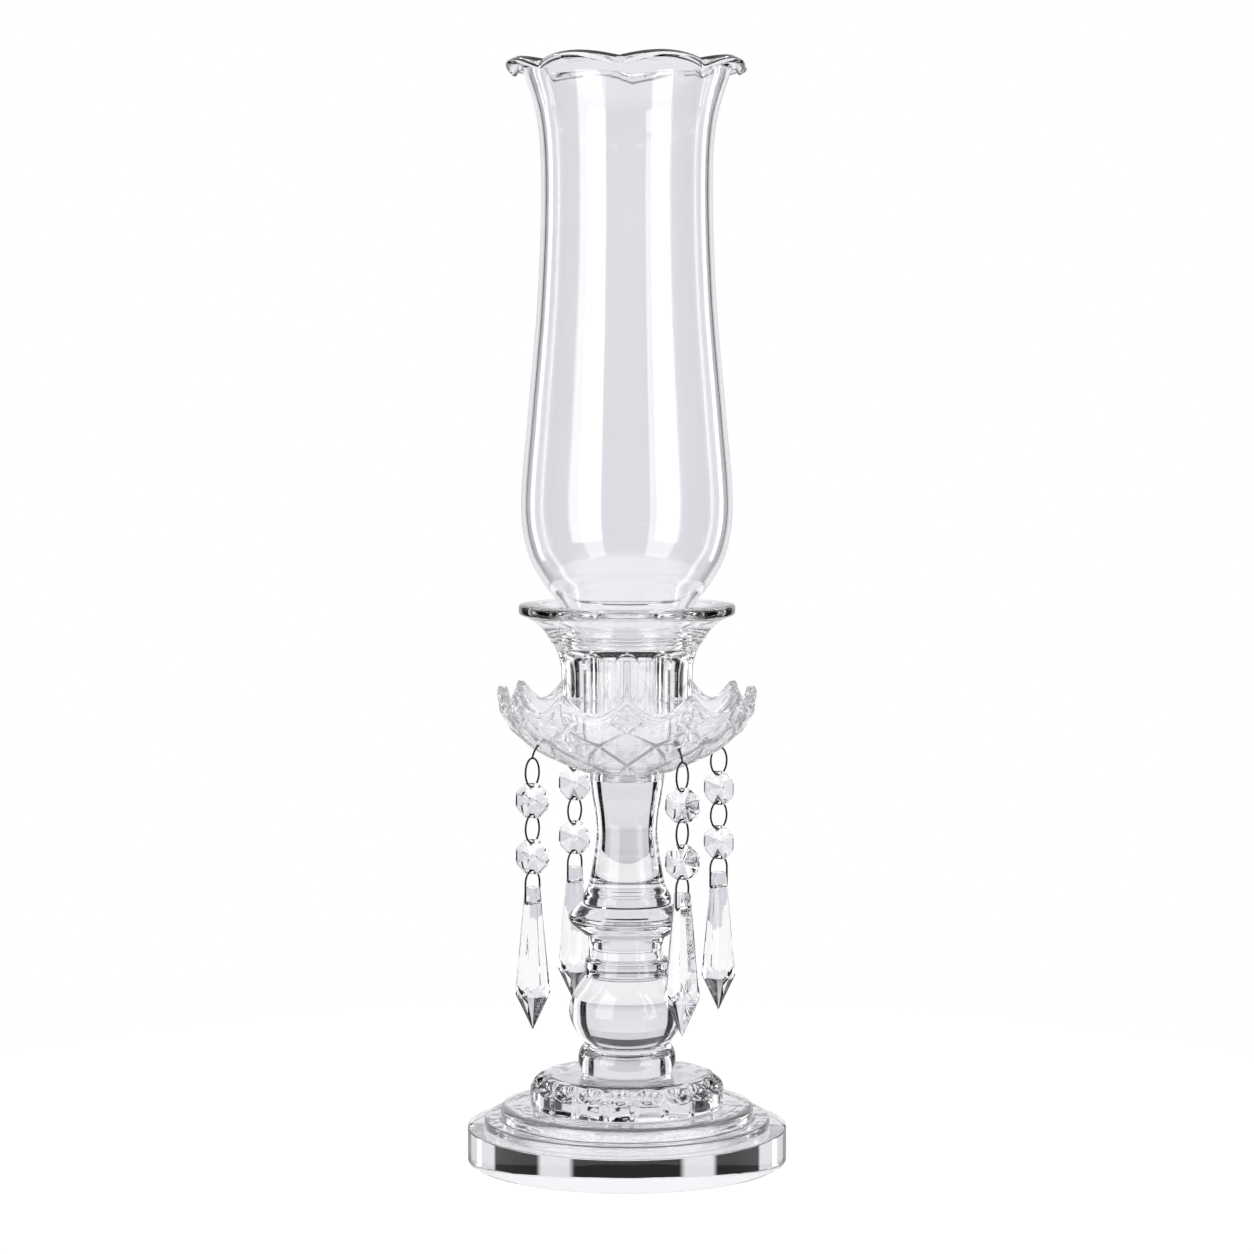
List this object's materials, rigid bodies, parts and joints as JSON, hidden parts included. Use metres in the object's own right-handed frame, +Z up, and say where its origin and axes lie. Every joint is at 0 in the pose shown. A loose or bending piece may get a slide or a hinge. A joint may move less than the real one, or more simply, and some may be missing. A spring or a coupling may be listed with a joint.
{
  "type": "hurricane candle holder",
  "caption": "Tall crystal candle holder with a ruffled hurricane shade, a fluted cup, a scalloped drip dish and hanging garlands.",
  "frame": {"origin": "centre of the base plate's underside, on the surface that the holder stands on", "axes": "+Z up along the stem, -Y the front that the picture shows, +X to the right of it"},
  "size_m": [0.1286, 0.1286, 0.4397],
  "materials": {
    "pressed_crystal": "polished",
    "blown_glass": "fire polished",
    "cut_crystal": "cut and polished",
    "plated_wire": "bright"
  },
  "bodies": {
    "stem": {"base_plate": "pressed_crystal", "stepped_foot": "pressed_crystal", "petal_ring": "pressed_crystal", "foot_ring": "pressed_crystal", "stem_ball": "pressed_crystal", "stem_collar": "pressed_crystal", "stem_knop": "pressed_crystal", "stem_column": "pressed_crystal"},
    "dish": {"drip_dish": "pressed_crystal"},
    "cup": {"candle_cup": "pressed_crystal"},
    "shade": {"hurricane_shade": "blown_glass"},
    "hook_front_left": {"garland_hook_front_left": "plated_wire"},
    "upper_bead_front_left": {"upper_bead_front_left": "cut_crystal"},
    "bead_link_front_left": {"bead_link_front_left": "plated_wire"},
    "lower_bead_front_left": {"lower_bead_front_left": "cut_crystal"},
    "drop_link_front_left": {"drop_link_front_left": "plated_wire"},
    "drop_front_left": {"crystal_drop_front_left": "cut_crystal"},
    "hook_front_right": {"garland_hook_front_right": "plated_wire"},
    "upper_bead_front_right": {"upper_bead_front_right": "cut_crystal"},
    "bead_link_front_right": {"bead_link_front_right": "plated_wire"},
    "lower_bead_front_right": {"lower_bead_front_right": "cut_crystal"},
    "drop_link_front_right": {"drop_link_front_right": "plated_wire"},
    "drop_front_right": {"crystal_drop_front_right": "cut_crystal"},
    "hook_back_right": {"garland_hook_back_right": "plated_wire"},
    "upper_bead_back_right": {"upper_bead_back_right": "cut_crystal"},
    "bead_link_back_right": {"bead_link_back_right": "plated_wire"},
    "lower_bead_back_right": {"lower_bead_back_right": "cut_crystal"},
    "drop_link_back_right": {"drop_link_back_right": "plated_wire"},
    "drop_back_right": {"crystal_drop_back_right": "cut_crystal"},
    "hook_back_left": {"garland_hook_back_left": "plated_wire"},
    "upper_bead_back_left": {"upper_bead_back_left": "cut_crystal"},
    "bead_link_back_left": {"bead_link_back_left": "plated_wire"},
    "lower_bead_back_left": {"lower_bead_back_left": "cut_crystal"},
    "drop_link_back_left": {"drop_link_back_left": "plated_wire"},
    "drop_back_left": {"crystal_drop_back_left": "cut_crystal"}
  },
  "joints": [
    {"name": "dish_lift", "type": "slide", "parent": "stem", "child": "dish", "axis": [0, 0, 1], "range_m": [0, 0.03]},
    {"name": "cup_lift", "type": "slide", "parent": "dish", "child": "cup", "axis": [0, 0, 1], "range_m": [0, 0.03]},
    {"name": "shade_lift", "type": "slide", "parent": "cup", "child": "shade", "axis": [0, 0, 1], "range_m": [0, 0.04]},
    {"name": "hook_rock_front_left", "type": "hinge", "parent": "dish", "child": "hook_front_left", "pos_m": [-0.03551, -0.0205, 0.17001], "axis": [0.5, -0.866, 0], "range_deg": [-8, 0]},
    {"name": "upper_bead_swing_front_left", "type": "hinge", "parent": "hook_front_left", "child": "upper_bead_front_left", "pos_m": [-0.03741, -0.0216, 0.15301], "axis": [-0.866, -0.5, 0], "range_deg": [-8, 8]},
    {"name": "bead_link_rock_front_left", "type": "hinge", "parent": "upper_bead_front_left", "child": "bead_link_front_left", "pos_m": [-0.03741, -0.0216, 0.14211], "axis": [0.5, -0.866, 0], "range_deg": [-6, 6]},
    {"name": "lower_bead_swing_front_left", "type": "hinge", "parent": "bead_link_front_left", "child": "lower_bead_front_left", "pos_m": [-0.03741, -0.0216, 0.13071], "axis": [-0.866, -0.5, 0], "range_deg": [-8, 8]},
    {"name": "drop_link_rock_front_left", "type": "hinge", "parent": "lower_bead_front_left", "child": "drop_link_front_left", "pos_m": [-0.03741, -0.0216, 0.11981], "axis": [0.5, -0.866, 0], "range_deg": [-6, 6]},
    {"name": "drop_swing_front_left", "type": "hinge", "parent": "drop_link_front_left", "child": "drop_front_left", "pos_m": [-0.03741, -0.0216, 0.10701], "axis": [-0.6157, -0.788, 0], "range_deg": [-12, 12]},
    {"name": "hook_rock_front_right", "type": "hinge", "parent": "dish", "child": "hook_front_right", "pos_m": [0.0205, -0.03551, 0.17001], "axis": [0.866, 0.5, 0], "range_deg": [-8, 0]},
    {"name": "upper_bead_swing_front_right", "type": "hinge", "parent": "hook_front_right", "child": "upper_bead_front_right", "pos_m": [0.0216, -0.03741, 0.15301], "axis": [0.5, -0.866, 0], "range_deg": [-8, 8]},
    {"name": "bead_link_rock_front_right", "type": "hinge", "parent": "upper_bead_front_right", "child": "bead_link_front_right", "pos_m": [0.0216, -0.03741, 0.14211], "axis": [0.866, 0.5, 0], "range_deg": [-6, 6]},
    {"name": "lower_bead_swing_front_right", "type": "hinge", "parent": "bead_link_front_right", "child": "lower_bead_front_right", "pos_m": [0.0216, -0.03741, 0.13071], "axis": [0.5, -0.866, 0], "range_deg": [-8, 8]},
    {"name": "drop_link_rock_front_right", "type": "hinge", "parent": "lower_bead_front_right", "child": "drop_link_front_right", "pos_m": [0.0216, -0.03741, 0.11981], "axis": [0.866, 0.5, 0], "range_deg": [-6, 6]},
    {"name": "drop_swing_front_right", "type": "hinge", "parent": "drop_link_front_right", "child": "drop_front_right", "pos_m": [0.0216, -0.03741, 0.10701], "axis": [-0.5592, -0.829, 0], "range_deg": [-12, 12]},
    {"name": "hook_rock_back_right", "type": "hinge", "parent": "dish", "child": "hook_back_right", "pos_m": [0.03551, 0.0205, 0.17001], "axis": [-0.5, 0.866, 0], "range_deg": [-8, 0]},
    {"name": "upper_bead_swing_back_right", "type": "hinge", "parent": "hook_back_right", "child": "upper_bead_back_right", "pos_m": [0.03741, 0.0216, 0.15301], "axis": [0.866, 0.5, 0], "range_deg": [-8, 8]},
    {"name": "bead_link_rock_back_right", "type": "hinge", "parent": "upper_bead_back_right", "child": "bead_link_back_right", "pos_m": [0.03741, 0.0216, 0.14211], "axis": [-0.5, 0.866, 0], "range_deg": [-6, 6]},
    {"name": "lower_bead_swing_back_right", "type": "hinge", "parent": "bead_link_back_right", "child": "lower_bead_back_right", "pos_m": [0.03741, 0.0216, 0.13071], "axis": [0.866, 0.5, 0], "range_deg": [-8, 8]},
    {"name": "drop_link_rock_back_right", "type": "hinge", "parent": "lower_bead_back_right", "child": "drop_link_back_right", "pos_m": [0.03741, 0.0216, 0.11981], "axis": [-0.5, 0.866, 0], "range_deg": [-6, 6]},
    {"name": "drop_swing_back_right", "type": "hinge", "parent": "drop_link_back_right", "child": "drop_back_right", "pos_m": [0.03741, 0.0216, 0.10701], "axis": [-0.788, -0.6157, 0], "range_deg": [-12, 12]},
    {"name": "hook_rock_back_left", "type": "hinge", "parent": "dish", "child": "hook_back_left", "pos_m": [-0.0205, 0.03551, 0.17001], "axis": [-0.866, -0.5, 0], "range_deg": [-8, 0]},
    {"name": "upper_bead_swing_back_left", "type": "hinge", "parent": "hook_back_left", "child": "upper_bead_back_left", "pos_m": [-0.0216, 0.03741, 0.15301], "axis": [-0.5, 0.866, 0], "range_deg": [-8, 8]},
    {"name": "bead_link_rock_back_left", "type": "hinge", "parent": "upper_bead_back_left", "child": "bead_link_back_left", "pos_m": [-0.0216, 0.03741, 0.14211], "axis": [-0.866, -0.5, 0], "range_deg": [-6, 6]},
    {"name": "lower_bead_swing_back_left", "type": "hinge", "parent": "bead_link_back_left", "child": "lower_bead_back_left", "pos_m": [-0.0216, 0.03741, 0.13071], "axis": [-0.5, 0.866, 0], "range_deg": [-8, 8]},
    {"name": "drop_link_rock_back_left", "type": "hinge", "parent": "lower_bead_back_left", "child": "drop_link_back_left", "pos_m": [-0.0216, 0.03741, 0.11981], "axis": [-0.866, -0.5, 0], "range_deg": [-6, 6]},
    {"name": "drop_swing_back_left", "type": "hinge", "parent": "drop_link_back_left", "child": "drop_back_left", "pos_m": [-0.0216, 0.03741, 0.10701], "axis": [-0.6428, -0.766, 0], "range_deg": [-12, 12]}
  ]
}
